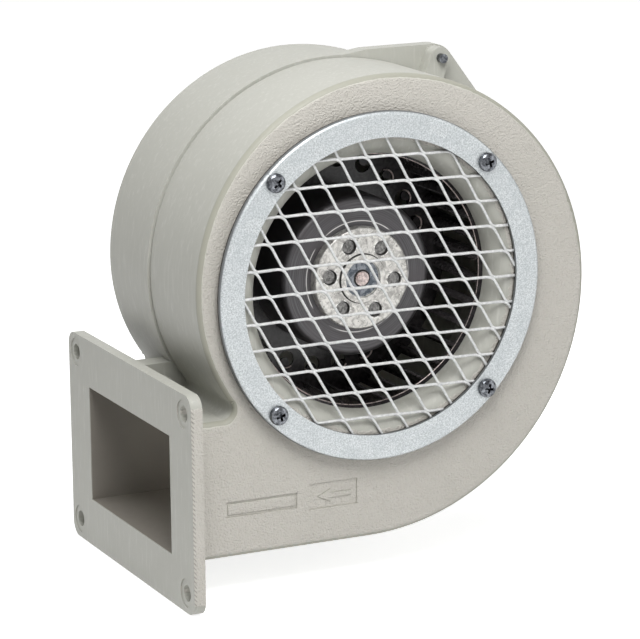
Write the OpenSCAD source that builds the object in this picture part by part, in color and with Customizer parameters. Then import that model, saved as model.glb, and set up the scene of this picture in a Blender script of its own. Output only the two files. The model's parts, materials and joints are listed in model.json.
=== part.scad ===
// Single-inlet centrifugal blower with a forward-curved impeller on an external-rotor motor.
// The origin is the centre of the outlet's bolt pattern on the flange face.
// X runs from the outlet into the fan, Y from the inlet to the back, Z is up. Millimetres.

/* [Scroll casting] */
// Radius of the scroll's outside on its first full quarter, from the left side to the top
scroll_r = 85; // [76:0.5:100]
// Growth of the scroll's radius at each quarter turn
scroll_step = 8.2; // [5:0.2:14]
// Distance of the scroll's centre to the right of the wheel's axis
scroll_right = 0.6; // [0:0.1:2]
// Distance of the scroll's centre below the wheel's axis
scroll_drop = 1.9; // [0:0.1:4]
// Depth of the scroll from its front wall to its back
body_depth = 96; // [84:1:120]
// Depth of the front casting, as far as the parting plane
front_depth = 50.5; // [44:0.5:56]
// Thickness of the cast walls
wall = 4; // [3:0.25:6]
// Rounding of the casting's front and back edges
edge_r = 2.5; // [1:0.25:5]
// Step of the rear casting's rim outside the front casting
rim_step = 0.9; // [0.6:0.1:2.5]
// Depth of the rear casting's rim
rim_depth = 7.5; // [6:0.5:10]
// Width of the groove beside the rim, in the front casting's rear edge
groove_w = 1.2; // [0.8:0.1:2]
// Depth of that groove
groove_deep = 0.9; // [0.5:0.1:1.5]
// Slope of the ear's outer side away from the vertical
ear_lean = 36.5; // [32:0.5:40]
// Length of that side
ear_run = 30; // [20:1:36]
// Radius of the nose of the cut-off tongue
tongue_r = 3; // [2:0.25:4]
// Inside radius of the notch between the scroll and the duct
notch_r = 4.5; // [3:0.5:6]

/* [Outlet] */
// Clear height of the outlet
outlet_h = 50; // [40:1:60]
// Distance from the flange face to the left side of the scroll
outlet_neck = 12; // [11:0.2:30]
// Thickness of the outlet flange
flange_t = 5; // [4:0.25:8]
// Rounding of the flange's corners
flange_corner = 6; // [3:0.5:8]
// Distance of the bolt rows outside the duct's front and back walls
bolt_out_y = 10.5; // [8:0.5:14]
// Distance of the bolt rows outside the duct's top and bottom walls
bolt_out_z = 8.5; // [8:0.5:14]
// Distance from a bolt hole's centre to the flange's edge
bolt_edge = 8.25; // [7:0.25:12]
// Diameter of the flange's bolt holes
bolt_hole_d = 7; // [5:0.1:8]
// Height of the ledge on the rear casting above the top of the duct
ledge_h = 14; // [13:0.5:16]
// Depth of that ledge
ledge_depth = 10; // [8.5:0.5:14]

/* [Inlet] */
// Radius of the inlet's throat
throat_r = 54; // [50:0.5:57]
// Rounding of the bell mouth from its rim to the throat
bell_r = 9.5; // [7:0.5:11]
// Height of the cast seat under the ring
seat_h = 4; // [2.5:0.25:6]
// Width of the ring's plate between its hole and its rolled edge
ring_w = 10.75; // [9.5:0.25:13]
// Thickness of the ring's sheet
ring_t = 1.5; // [1:0.1:2]
// Depth of the ring's rolled edge
ring_skirt = 3; // [2.2:0.1:3.8]
// Thickness of the expanded mesh
mesh_t = 1.2; // [0.8:0.1:1.6]
// Width of a mesh strand
strand_w = 1.5; // [1:0.1:2.2]
// Length of a mesh opening along its rows
mesh_pitch = 12.8; // [9:0.2:18]
// Distance between the mesh's rows
mesh_row = 10.8; // [8:0.2:16]

/* [Impeller] */
// Outside radius of the blades
blade_out_r = 60; // [58:0.5:64]
// Depth of the blades from the inside to the outside of the wheel
blade_deep = 8; // [6:0.5:10]
// Width of the wheel along its axis
wheel_w = 60; // [50:1:66]
// Number of blades
blade_n = 34; // [24:1:44]
// Radius of a blade's hollow side
blade_curve_r = 5.2; // [4.6:0.1:7]
// Thickness of the blades and rings
blade_t = 0.7; // [0.5:0.1:1]
// Gap between the throat and the wheel's front ring
inlet_gap = 2; // [1:0.25:4]
// Number of windows in the wheel's disc
window_n = 22; // [12:1:26]

/* [Motor] */
// Outside radius of the rotor can
can_r = 34; // [31:0.5:36]
// Length of the rotor can
can_len = 50; // [44:1:56]
// Distance from the rotor can's face to the wheel's front ring
can_sink = 7.5; // [5:0.5:12]
// Radius of the cast hub on the rotor's face
hub_r = 21.5; // [19:0.5:24]
// Thickness of the hub
hub_t = 4.5; // [3:0.25:6]
// Diameter of the shaft
shaft_d = 6; // [5:0.5:7]
// Outside diameter of the ball bearings
bearing_d = 19; // [17:0.5:21]
// Width of the ball bearings
bearing_w = 6; // [5:0.5:7]
// Length of the stator's sheet stack
stack_len = 28; // [22:1:32]
// Number of stator teeth
tooth_n = 9; // [6:3:12]
// Number of rotor magnets
magnet_n = 6; // [4:2:12]

/* [Hidden] */
$fn = 96;

// Clearances
fit = 0.02;         // pressed and screwed pieces
slide = 0.05;       // the shaft in its bearings
air = 0.3;          // neighbours that pass or face each other
cut = 1;            // how far a cutter passes a face
lap = 0.5;          // how far a piece of an outline reaches into its neighbour
bite = 0.03;        // how far a round crosses the outline that it runs into

// The fan's own frame has its axis on Z towards the inlet, X to the right and Y up.
front_z = body_depth / 2;
back_z = -body_depth / 2;
part_z = front_z - front_depth;
half_step = scroll_step / 2;
duct_h = outlet_h + 2 * wall;
duct_low = -scroll_drop - scroll_r - 2.5 * scroll_step;
duct_top = duct_low + duct_h;
duct_mid = duct_low + duct_h / 2;
axis_x = outlet_neck + scroll_r - half_step - scroll_right;
axis_z = -duct_mid;
flange_face = -axis_x;
flange_back = flange_face + flange_t;

// Quarter turns of the scroll: the tongue side, left to top, top to right, right to bottom
TURN_SIDE = [[-1, 1], [1, 1], [1, -1], [-1, -1]];
function turn_r(i) = scroll_r + (i - 1) * scroll_step;
function turn_c(i) = [scroll_right, -scroll_drop] + half_step * TURN_SIDE[i];
function turn_start(i) = 180 - 90 * i;
// Where a circle round the first turn's centre crosses a level, on its left side
function beside_turn(r, y) = turn_c(0)[0] - sqrt(pow(r, 2) - pow(y - turn_c(0)[1], 2));

// Cut-off tongue: its nose touches the scroll's inside and the duct's ceiling
ceiling = duct_top - wall;
tongue_y = ceiling + tongue_r;
tongue_reach = turn_r(0) - wall + tongue_r;
tongue_x = beside_turn(tongue_reach, tongue_y);
tongue_tip_x = beside_turn(turn_r(0) - wall, ceiling);

// Notch between the scroll's outside and the duct's roof
notch_y = duct_top + notch_r;
notch_x = beside_turn(turn_r(0) + notch_r, notch_y);
notch_turn = atan2(turn_c(0)[1] - notch_y, turn_c(0)[0] - notch_x);

// Outlet flange
bolt_y = body_depth + 2 * bolt_out_y;
bolt_z = duct_h + 2 * bolt_out_z;
flange_y = bolt_y + 2 * bolt_edge;
flange_z = bolt_z + 2 * bolt_edge;
spot_d = bolt_hole_d + 5;
spot_deep = 0.4;

// Shallow places for a turning arrow and a plate: centre and size, from the duct's middle line
ARROW_PLACE = [[-21, -8], [22, 11]];
PLATE_PLACE = [[-53.6, -8.5], [32.2, 6.6]];
place_deep = 0.5;

// Lugs and bolts that hold the castings together
housing_bolt_r = 2;
screw_head_r = 4;
screw_head_h = 2.8;
lug_r = 4.5;
lug_out = 9;
lug_depth = 7;
bolt_end = 3;
roof_bolt_x = 11.5;
ear_r = 10;
ear_over = 5;
ear_rise = 16;
function outside(i, angle) = turn_c(i) + (turn_r(i) + lug_out) * [cos(angle), sin(angle)];
// Each bolt: its place, the angle of its lug and the rear casting's depth there
HOUSING_BOLTS = [
    [outside(2, 62.3), 69, rim_depth],
    [[flange_back + roof_bolt_x, duct_top + screw_head_r + air], 90, ledge_depth],
    [outside(3, -50), -50, rim_depth]
];

// Inlet ring, mesh and seat
bell_rim_r = throat_r + bell_r;
ring_hole_r = bell_rim_r - 1.25;
ring_r = ring_hole_r + ring_w;
seat_r = ring_r - ring_t - 0.7;
seat_z = front_z + seat_h;
mesh_r = bell_rim_r + 1.3;
mesh_seat_r = mesh_r + 0.4;
mesh_z = seat_z - mesh_t;
bell_z = mesh_z - air - bell_r;
ring_z = seat_z + ring_t;
ring_screw_r = 2;
ring_screw_pitch = (mesh_seat_r + seat_r) / 2;

// Expanded mesh: rows lean a little, and each row is shifted along the one above
mesh_lean = -1.8;
mesh_shift = 5.8;
mesh_at = [0.2, 22.3];
mesh_round = 2.6;

// Impeller
wheel_front = bell_z - inlet_gap - inlet_gap;
wheel_back = wheel_front - wheel_w;
ring_over = 0.4;
blade_in_r = blade_out_r - blade_deep;
blade_mid_r = blade_in_r + blade_deep * 0.54;
disc_t = 1;
collar_len = 6;
disc_z = part_z - disc_t;
window_r = can_r + 0.583 * (blade_in_r - can_r);
window_size = 0.2 * (blade_in_r - can_r);

// Rotor
can_t = 2;
can_edge = 3;
can_front = wheel_front - can_sink;
can_back = can_front - can_len;
hub_front = can_front + hub_t;
boss_r = 10.8;
boss_h = 1;
boss_floor_r = 8;
rivet_pitch = 15;
rivet_r = 3.2;
rivet_n = 6;
rivet_phase = 53;
shaft_r = shaft_d / 2;
spigot_r = shaft_r + 2;
spigot_len = 9;
spigot_end = can_front - spigot_len + air;
magnet_t = 4.2;
air_gap = 0.7;
magnet_out_r = can_r - can_t - fit;
magnet_in_r = magnet_out_r - magnet_t;
stator_r = magnet_in_r - air_gap;

// Motor base and bearings
tube_wall = 2.5;
tube_bore = bearing_d / 2;
tube_r = tube_bore + tube_wall;
shoulder_r = tube_r + 1.5;
bearing_ledge = 1.2;
base_t = 4;
base_z = back_z + wall;
base_rim = 12;
base_r = can_r + base_rim;
base_front = base_z + base_t;
spigot_back_r = can_r - 2;
back_skin = 2;
front_bearing_z = spigot_end - air - bearing_w;
rear_bearing_z = base_z + base_t;
tube_front = front_bearing_z + bearing_w + 1;
motor_screw_pitch = base_r - 6;
stack_mid = (can_front + can_back) / 2 - 3;
shoe_t = 2.4;
tooth_w = 4.2;
yoke_r = tube_r + 4.5;
slot_open = 2.4;
insulator_t = 1.2;
coil_t = 2.6;

// Driver board
board_t = 1.6;
board_r = can_r - 4;
board_in_r = shoulder_r + air;
board_z = base_front + 6;
board_post_r = 3;
board_post_pitch = board_r - 3.4;
board_screw_r = 1.25;
board_screw_grip = 4;
board_screw_head_r = 2.4;
board_screw_head_h = 1.6;
CHIP = [4, 5, 1.8];
PLUG = [5, 10, 5];
capacitor_r = 2.5;
capacitor_h = 5.5;
gland_pitch = (tube_r + spigot_back_r) / 2;
gland_r = 5.5;

// Places the fan's own frame in the outlet's frame
module fan_frame() {
    translate([axis_x, 0, axis_z]) rotate([90, 0, 0]) children();
}

module slab(z0, z1) {
    translate([0, 0, z0]) linear_extrude(z1 - z0) children();
}

module tube(r_out, r_in, z0, z1) {
    slab(z0, z1) difference() {
        circle(r_out);
        circle(r_in);
    }
}

// Copies a shape round the axis
module ring_of(n, radius, phase = 0) {
    for (i = [0 : n - 1]) rotate(phase + 360 / n * i) translate([radius, 0, 0]) children();
}

// Outline of the scroll, grown or shrunk by a wall
module scroll_outline(grow = 0) {
    for (i = [0 : 3]) translate(turn_c(i)) intersection() {
        circle(turn_r(i) + grow);
        rotate(turn_start(i)) square(2 * turn_r(i));
    }
    translate([scroll_right, -scroll_drop]) square(scroll_step, center = true);
}

module duct_outline(grow = 0, from_x = flange_back) {
    translate([from_x, duct_low - grow]) square([turn_c(3)[0] - from_x, duct_h + 2 * grow]);
}

// Fills the notch's corner with a concave round
module notch_outline() {
    way = ([notch_x, notch_y] - turn_c(0)) / norm([notch_x, notch_y] - turn_c(0));
    difference() {
        polygon([
            [notch_x, notch_y],
            turn_c(0) + (turn_r(0) - wall / 2) * way,
            [tongue_x, tongue_y],
            [notch_x, duct_top - wall / 2]
        ]);
        translate([notch_x, notch_y]) circle(notch_r + bite);
    }
}

// Solid form of the cast shell between two planes: scroll, duct and the round between them
module shell(z0, z1, from_x = flange_back) {
    slab(z0, z1) {
        scroll_outline();
        duct_outline(0, from_x);
    }
    slab(z0, z1) notch_outline();
}

// Cross-section of a solid with a rounded corner at its outer front edge
module edge_section(r, z0, z1, rounding) {
    translate([0, z0]) square([r, z1 - rounding - z0]);
    translate([0, z1 - rounding]) square([r - rounding, rounding]);
    translate([r - rounding, z1 - rounding]) intersection() {
        circle(rounding);
        square(rounding);
    }
}

// What a rounded edge takes away from a square corner at the section's origin
module edge_waste() {
    difference() {
        translate([-edge_r, -edge_r]) square(edge_r + cut);
        translate([-edge_r, -edge_r]) circle(edge_r);
    }
}

// Rounds the shell's edge at a plane: round the scroll, into the notch and along the duct
module edge_cut(z) {
    for (i = [0 : 3]) translate(turn_c(i)) rotate(i == 0 ? 180 : turn_start(i)) {
        rotate_extrude(angle = i == 0 ? notch_turn : 90) translate([turn_r(i), z]) edge_waste();
    }
    translate([notch_x, notch_y, 0]) rotate(-90) rotate_extrude(angle = 90 + notch_turn) {
        translate([notch_r + bite, z]) mirror([1, 0]) edge_waste();
    }
    translate([notch_x, duct_top, z]) rotate([90, 0, -90]) {
        linear_extrude(notch_x - flange_back + cut) mirror([1, 0]) edge_waste();
    }
    translate([turn_c(3)[0], duct_low, z]) rotate([90, 0, -90]) {
        linear_extrude(turn_c(3)[0] - flange_back + cut) edge_waste();
    }
}

// Air space of the scroll and duct, with the tongue's round nose left standing
module air_space(z0, z1) {
    way = ([tongue_x, tongue_y] - turn_c(0)) / norm([tongue_x, tongue_y] - turn_c(0));
    difference() {
        union() {
            slab(z0, z1) {
                scroll_outline(-wall);
                duct_outline(-wall, flange_back - cut);
            }
            slab(z0, z1) polygon([
                [tongue_x, tongue_y],
                turn_c(0) + (turn_r(0) - wall - lap) * way,
                [tongue_tip_x + lap, ceiling - lap],
                [tongue_x, ceiling - lap]
            ]);
        }
        slab(z0 - cut, z1 + cut) translate([tongue_x, tongue_y]) circle(tongue_r + bite);
    }
}

// A rounded lug that runs outwards from the wall to a bolt
module lug_outline(b, r = lug_r) {
    reach = lug_out + wall / 2;
    translate(b[0]) rotate(b[1]) {
        translate([-reach, -r]) square([reach, 2 * r]);
        circle(r);
    }
}

// Groove in the front casting's rear edge, round the scroll above the notch
module groove_outline() {
    difference() {
        translate([-2 * scroll_r, notch_y]) square([4 * scroll_r, 3 * scroll_r]);
        scroll_outline(-groove_deep);
    }
}

module place_outline(place) {
    translate([0, duct_mid] + place[0]) square(place[1], center = true);
}

// Ear of the rear casting: it rises from the scroll's top, rounds its corner and falls back to the wall
module ear_outline() {
    corner = HOUSING_BOLTS[0][0] + [0, ear_over - ear_r];
    way = [cos(ear_lean), sin(ear_lean)];
    tip = corner + ear_r * way + ear_run * [sin(ear_lean), -cos(ear_lean)];
    out = tip - turn_c(2);
    meet = atan2(out[1], out[0]) - acos(turn_r(2) / norm(out));
    polygon([
        turn_c(2),
        turn_c(2) + [0, turn_r(2)],
        [turn_c(2)[0] + ear_rise, corner[1] + ear_r],
        [corner[0], corner[1] + ear_r],
        corner + ear_r * way,
        tip,
        turn_c(2) + turn_r(2) * [cos(meet), sin(meet)]
    ]);
    translate(corner) circle(ear_r);
}

module ledge_outline() {
    translate([flange_back, duct_top]) square([turn_c(0)[0] - turn_r(0) * 0.77 - flange_back, ledge_h]);
}

// A rectangle with round corners, made of exact arcs
module round_rectangle(w, h, r) {
    square([w - 2 * r, h], center = true);
    square([w, h - 2 * r], center = true);
    for (sx = [-1, 1]) for (sy = [-1, 1]) translate([sx * (w / 2 - r), sy * (h / 2 - r)]) circle(r);
}

// Places a cross-section of the outlet on the flange's face, facing into the fan
module on_flange(depth) {
    rotate([90, 0, 90]) linear_extrude(depth) children();
}

module at_flange_bolts() {
    for (sy = [-1, 1]) for (sz = [-1, 1]) translate([0, sy * bolt_y / 2, sz * bolt_z / 2]) {
        rotate([0, 90, 0]) children();
    }
}

// Section of the seat, the bell mouth and the throat
module inlet_section() {
    translate([bell_rim_r, front_z - wall]) square([mesh_seat_r - bell_rim_r, wall + mesh_z - front_z]);
    translate([mesh_seat_r, front_z - wall]) square([seat_r - mesh_seat_r, wall + seat_h]);
    translate([bell_rim_r, bell_z]) intersection() {
        difference() {
            circle(bell_r);
            circle(bell_r - wall);
        }
        translate([-bell_r, 0]) square(bell_r);
    }
    translate([throat_r, bell_z - inlet_gap]) square([wall, inlet_gap]);
}

module scroll_housing() color("#a9a79c") {
    difference() {
        union() {
            fan_frame() difference() {
                union() {
                    difference() {
                        shell(part_z, front_z, flange_back - lap);
                        slab(part_z - cut, part_z + groove_w) groove_outline();
                    }
                    for (b = HOUSING_BOLTS) slab(part_z, part_z + lug_depth) lug_outline(b);
                }
                edge_cut(front_z);
                air_space(part_z - cut, front_z - wall);
                slab(front_z - wall - cut, front_z + cut) circle(mesh_seat_r);
                slab(front_z - place_deep, front_z + cut) {
                    place_outline(ARROW_PLACE);
                    place_outline(PLATE_PLACE);
                }
                for (b = HOUSING_BOLTS) slab(part_z - cut, part_z + lug_depth + cut) {
                    translate(b[0]) circle(housing_bolt_r);
                }
            }
            on_flange(flange_t) round_rectangle(flange_y, flange_z, flange_corner);
            fan_frame() rotate_extrude() inlet_section();
        }
        translate([-cut, 0, 0]) on_flange(flange_t + 2 * cut) {
            square([body_depth - 2 * wall, outlet_h], center = true);
        }
        at_flange_bolts() translate([0, 0, -cut]) cylinder(r = bolt_hole_d / 2, h = flange_t + 2 * cut);
        at_flange_bolts() translate([0, 0, -cut]) cylinder(r = spot_d / 2, h = spot_deep + cut);
        fan_frame() ring_of(4, ring_screw_pitch, 45) {
            slab(front_z - wall - cut, seat_z + cut) circle(ring_screw_r);
        }
    }
}

module rear_housing() color("#a4a298") fan_frame() difference() {
    union() {
        shell(back_z, part_z);
        slab(part_z - rim_depth, part_z) {
            scroll_outline(rim_step);
            ear_outline();
            lug_outline(HOUSING_BOLTS[2], lug_r + rim_step);
        }
        slab(part_z - ledge_depth, part_z) ledge_outline();
    }
    mirror([0, 0, 1]) edge_cut(-back_z);
    air_space(base_z, part_z + cut);
    slab(back_z - cut, base_z + cut) circle(spigot_back_r + air / 2);
    for (b = HOUSING_BOLTS) slab(part_z - ledge_depth - cut, part_z + cut) {
        translate(b[0]) circle(housing_bolt_r + 0.25);
    }
    ring_of(4, motor_screw_pitch, 45) slab(back_z - cut, base_z + cut) circle(ring_screw_r + 0.25);
}

module inlet_ring() color("#c3c7c9") fan_frame() difference() {
    rotate_extrude() {
        translate([ring_hole_r, ring_z - ring_t]) square([ring_w - ring_t, ring_t]);
        translate([ring_r - ring_t, ring_z - ring_skirt]) square([ring_t, ring_skirt - ring_t]);
        translate([ring_r - ring_t, ring_z - ring_t]) intersection() {
            circle(ring_t);
            square(ring_t);
        }
    }
    ring_of(4, ring_screw_pitch, 45) slab(seat_z - cut, ring_z + cut) circle(ring_screw_r + 0.2);
}

// One opening of the mesh: a leaning four-sided hole with round corners at its blunt ends
module mesh_hole() {
    row = rotate_2d([mesh_pitch, 0], mesh_lean) / 2;
    fall = [mesh_shift, -mesh_row] / 2;
    shrink_row = 1 - strand_w / mesh_pitch * 1.25;
    shrink_fall = 1 - strand_w / mesh_row * 1.1;
    a = row * shrink_row;
    b = fall * shrink_fall;
    na = a / norm(a);
    nb = b / norm(b);
    polygon([
        for (corner = [[-1, -1, 0.35, 1], [1, -1, 1, 2], [1, 1, 0.35, 1], [-1, 1, 1, 2]])
            for (k = [0 : corner[3]])
                let (
                    p = corner[0] * a + corner[1] * b,
                    r = mesh_round * corner[2],
                    from = corner[0] * corner[1] > 0 ? -corner[1] * nb : -corner[0] * na,
                    to = corner[0] * corner[1] > 0 ? -corner[0] * na : -corner[1] * nb,
                    t = k / corner[3]
                ) p + r * (pow(1 - t, 2) * from + pow(t, 2) * to)
    ]);
}
function rotate_2d(p, a) = [p[0] * cos(a) - p[1] * sin(a), p[0] * sin(a) + p[1] * cos(a)];

module inlet_mesh() color("#dcdcd8") fan_frame() {
    rows = ceil(mesh_r / mesh_row) + 3;
    cols = ceil(mesh_r / mesh_pitch) + 3;
    step = rotate_2d([mesh_pitch, 0], mesh_lean);
    slab(mesh_z, seat_z) difference() {
        circle(mesh_r);
        for (j = [-rows : rows]) for (i = [-2 * cols : 2 * cols]) {
            at = mesh_at + i * step + j * [mesh_shift, -mesh_row] + step / 2 + [mesh_shift, -mesh_row] / 2;
            if (norm(at) < mesh_r + mesh_pitch) translate(at) mesh_hole();
        }
    }
}

// Pan-head screw along Z with the head's seat at z = 0 and its shank below
module pan_screw(r, length, head_r, head_h) {
    translate([0, 0, -length]) cylinder(r = r - fit, h = length + head_h / 2);
    rotate_extrude() edge_section(head_r, 0, head_h, head_h * 0.6);
}

module ring_screws() color("#b4b8bc") fan_frame() ring_of(4, ring_screw_pitch, 45) {
    translate([0, 0, ring_z]) {
        pan_screw(ring_screw_r, wall + seat_h + ring_t - 0.5, screw_head_r, screw_head_h);
    }
}

module housing_bolts() color("#9ba0a4") fan_frame() for (b = HOUSING_BOLTS) {
    translate(concat(b[0], part_z - b[2])) mirror([0, 0, 1]) {
        pan_screw(housing_bolt_r, b[2] + lug_depth + bolt_end, screw_head_r, screw_head_h);
    }
}

// Cast motor base: a plate inside the rear wall, a centring spigot and the bearing tube
module motor_flange() color("#b9bbba") fan_frame() difference() {
    union() {
        slab(base_z, base_front) circle(base_r);
        slab(back_z, base_z) circle(spigot_back_r);
        slab(base_front, stack_mid - stack_len / 2 - insulator_t) circle(shoulder_r);
        slab(base_front, tube_front) circle(tube_r);
        ring_of(3, board_post_pitch, 90) slab(base_z, board_z) circle(board_post_r);
    }
    slab(rear_bearing_z, tube_front + cut) circle(tube_bore - bearing_ledge);
    slab(base_front, base_front + bearing_w) circle(tube_bore + fit);
    slab(front_bearing_z, tube_front + cut) circle(tube_bore + fit);
    slab(back_z + back_skin, rear_bearing_z + cut) circle(tube_bore - bearing_ledge);
    translate([0, -gland_pitch, 0]) slab(back_z - cut, base_front + cut) circle(gland_r);
    ring_of(4, motor_screw_pitch, 45) slab(base_z - cut, base_front + cut) circle(ring_screw_r);
    ring_of(3, board_post_pitch, 90) slab(base_front + 1, board_z + cut) circle(board_screw_r);
}

module motor_screws() color("#b4b8bc") fan_frame() ring_of(4, motor_screw_pitch, 45) {
    translate([0, 0, back_z]) mirror([0, 0, 1]) {
        pan_screw(ring_screw_r, wall + base_t, screw_head_r, screw_head_h);
    }
}

// Stack of electrical sheets: a yoke on the bearing tube, teeth and pole shoes
module stator_core() color("#6f7072") fan_frame() {
    slab(stack_mid - stack_len / 2, stack_mid + stack_len / 2) difference() {
        union() {
            circle(yoke_r);
            intersection() {
                ring_of(tooth_n, yoke_r - 1) translate([0, -tooth_w / 2]) {
                    square([stator_r - yoke_r, tooth_w]);
                }
                circle(stator_r);
            }
            difference() {
                circle(stator_r);
                circle(stator_r - shoe_t);
                ring_of(tooth_n, stator_r - shoe_t - cut, 180 / tooth_n) {
                    translate([0, -slot_open / 2]) square([shoe_t + 2 * cut, slot_open]);
                }
            }
        }
        circle(tube_r + fit);
    }
}

// Moulded end plates that keep the wire off the sheets
module stator_insulator() color("#e6e1d2") fan_frame() {
    for (side = [-1, 1]) {
        z = stack_mid + side * (stack_len + insulator_t) / 2;
        slab(z - insulator_t / 2, z + insulator_t / 2) difference() {
            union() {
                circle(yoke_r);
                ring_of(tooth_n, yoke_r - 1) {
                    translate([0, -tooth_w / 2]) square([stator_r - yoke_r - 0.5, tooth_w]);
                }
            }
            circle(tube_r + fit);
        }
    }
}

// One coil round each tooth
module stator_windings() color("#b3642e") fan_frame() {
    in_r = yoke_r + 0.4;
    out_r = stator_r - shoe_t - 0.4;
    half_w = tooth_w / 2 + 0.3;
    half_l = stack_len / 2 + insulator_t + 0.1;
    ring_of(tooth_n, in_r) translate([0, 0, stack_mid]) difference() {
        translate([0, -half_w - coil_t * 0.75, -half_l - coil_t]) {
            cube([out_r - in_r, 2 * half_w + coil_t * 1.5, 2 * (half_l + coil_t)]);
        }
        translate([-cut, -half_w, -half_l]) cube([out_r - in_r + 2 * cut, 2 * half_w, 2 * half_l]);
    }
}

// Ring board with its power transistors, smoothing capacitors and connector
module driver_board() color("#2f6b46") fan_frame() {
    slab(board_z, board_z + board_t) difference() {
        circle(board_r);
        circle(board_in_r);
        ring_of(3, board_post_pitch, 90) circle(board_screw_r + 0.35);
        translate([0, -board_r]) circle(gland_r);
    }
    translate([0, 0, board_z + board_t]) {
        for (a = [20, 45, 135, 160]) rotate(a) translate([(board_r + board_in_r) / 2, 0, 0]) {
            cylinder(r = capacitor_r, h = capacitor_h);
        }
        ring_of(6, board_r - CHIP[0] - 2, -12) translate([0, -CHIP[1] / 2, 0]) cube(CHIP);
        rotate(-65) translate([board_in_r + 1, -PLUG[1] / 2, 0]) cube(PLUG);
    }
}

module board_screws() color("#b4b8bc") fan_frame() ring_of(3, board_post_pitch, 90) {
    translate([0, 0, board_z + board_t]) {
        pan_screw(board_screw_r, board_t + board_screw_grip, board_screw_head_r, board_screw_head_h);
    }
}

// Ball bearing drawn as its two races with shields between them
module bearing(z) {
    race = (tube_bore - shaft_r) * 0.28;
    rotate_extrude() {
        translate([shaft_r + slide, z]) square([race, bearing_w]);
        translate([shaft_r + slide + race, z + 0.4]) {
            square([tube_bore - shaft_r - slide - 2 * race, bearing_w - 0.8]);
        }
        translate([tube_bore - race, z]) square([race, bearing_w]);
    }
}

module front_bearing() color("#c9ccd0") fan_frame() bearing(front_bearing_z);

module rear_bearing() color("#c9ccd0") fan_frame() bearing(rear_bearing_z);

// Grommet in the motor base, where the leads leave
module cable_gland() color("#2b2b2c") fan_frame() translate([0, -gland_pitch, 0]) rotate_extrude() {
    translate([2.5, back_z]) square([gland_r - fit - 2.5, wall + base_t]);
    translate([2.5, back_z - 2]) square([gland_r, 2]);
}

module shaft() color("#c2c4c6") fan_frame() difference() {
    rotate_extrude() {
        translate([0, base_z + 0.6]) square([shaft_r, hub_front + boss_h - 1.5 - base_z]);
        translate([0, hub_front + boss_h - 0.9]) square([shaft_r - 0.5, 0.4]);
    }
    tube(shaft_r + cut, shaft_r - 0.5, rear_bearing_z - 1.6, rear_bearing_z - 0.7);
}

module shaft_clip() color("#55585b") fan_frame() {
    slab(rear_bearing_z - 1.5, rear_bearing_z - 0.8) difference() {
        circle(shaft_r + 2);
        circle(shaft_r - 0.5 + fit);
        translate([0, -shaft_r + 1]) square([shaft_r + 3, 2 * shaft_r - 2]);
    }
}

// Deep-drawn steel can that carries the magnets inside and the wheel outside
module rotor_can() color("#3c3a39") fan_frame() difference() {
    rotate_extrude() edge_section(can_r, can_back, can_front, can_edge);
    slab(can_back - cut, can_front - can_t) circle(can_r - can_t);
    slab(can_front - can_t - cut, can_front + cut) circle(spigot_r + fit);
    ring_of(rivet_n, rivet_pitch, rivet_phase) slab(can_front - can_t - cut, can_front + cut) {
        circle(rivet_r * 0.7);
    }
}

module rotor_magnets() color("#4a4644") fan_frame() {
    half = 180 / magnet_n - 2;
    slab(stack_mid - stack_len / 2 - 2, stack_mid + stack_len / 2 + 2) difference() {
        circle(magnet_out_r);
        circle(magnet_in_r);
        ring_of(magnet_n, magnet_in_r - cut, 30) translate([0, -0.8]) square([magnet_t + 2 * cut, 1.6]);
    }
}

// Cast hub: a disc with six rivet pockets and a raised boss round the shaft
module rotor_hub() color("#b9b9b6") fan_frame() difference() {
    rotate_extrude() {
        edge_section(hub_r, can_front, hub_front, 1);
        translate([0, hub_front]) square([boss_r - 0.6, boss_h]);
        translate([0, spigot_end]) square([spigot_r, can_front - spigot_end + lap]);
    }
    slab(hub_front + boss_h - 1.4, hub_front + boss_h + cut) circle(boss_floor_r);
    slab(spigot_end - cut, hub_front + boss_h + cut) circle(shaft_r + fit);
    ring_of(rivet_n, rivet_pitch, rivet_phase) {
        slab(hub_front - 2.4, hub_front + cut) circle(rivet_r);
        slab(can_front - cut, hub_front) circle(rivet_r * 0.7);
    }
}

// Rivets that clamp the hub to the can's face
module hub_rivets() color("#8d8d8c") fan_frame() ring_of(rivet_n, rivet_pitch, rivet_phase) {
    rotate_extrude() {
        translate([0, can_front - can_t - 1]) square([rivet_r, 1]);
        translate([0, can_front - can_t]) square([rivet_r * 0.7 - fit, hub_t + can_t - 2.4]);
        translate([0, hub_front - 2.4]) square([rivet_r - 0.5, 1.2]);
    }
}

// Section of one forward-curved blade: its hollow side faces the way the wheel turns
module blade_section(grow = 0) {
    intersection() {
        difference() {
            circle(blade_out_r + grow);
            circle(blade_in_r - grow);
        }
        translate([blade_mid_r, 0]) difference() {
            circle(blade_curve_r + blade_t + grow);
            circle(blade_curve_r - grow);
        }
        translate([blade_in_r - 2 * cut, 0]) square([blade_deep + 4 * cut, blade_curve_r + 2 * cut]);
    }
}

module impeller_blades() color("#1d1c1c") fan_frame() {
    slab(wheel_back + blade_t, wheel_front - blade_t) ring_of(blade_n, 0) blade_section();
}

// Disc between the rotor and the blades, slotted for them, with windows that cool the motor
module impeller_disc() color("#222020") fan_frame() {
    slab(disc_z, disc_z + disc_t) difference() {
        circle(blade_mid_r + 1);
        circle(can_r + fit);
        ring_of(blade_n, 0) blade_section(0.05);
        ring_of(window_n, window_r) difference() {
            circle(window_size);
            translate([window_size * 0.5, 0]) circle(window_size * 0.62);
        }
    }
    tube(can_r + disc_t + fit, can_r + fit, disc_z - collar_len, disc_z);
}

module wheel_ring(z) {
    tube(blade_out_r + ring_over, blade_in_r + 0.8, z, z + blade_t);
}

module impeller_front_ring() color("#4a4846") fan_frame() wheel_ring(wheel_front - blade_t);

module impeller_back_ring() color("#2a2828") fan_frame() wheel_ring(wheel_back);

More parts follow.
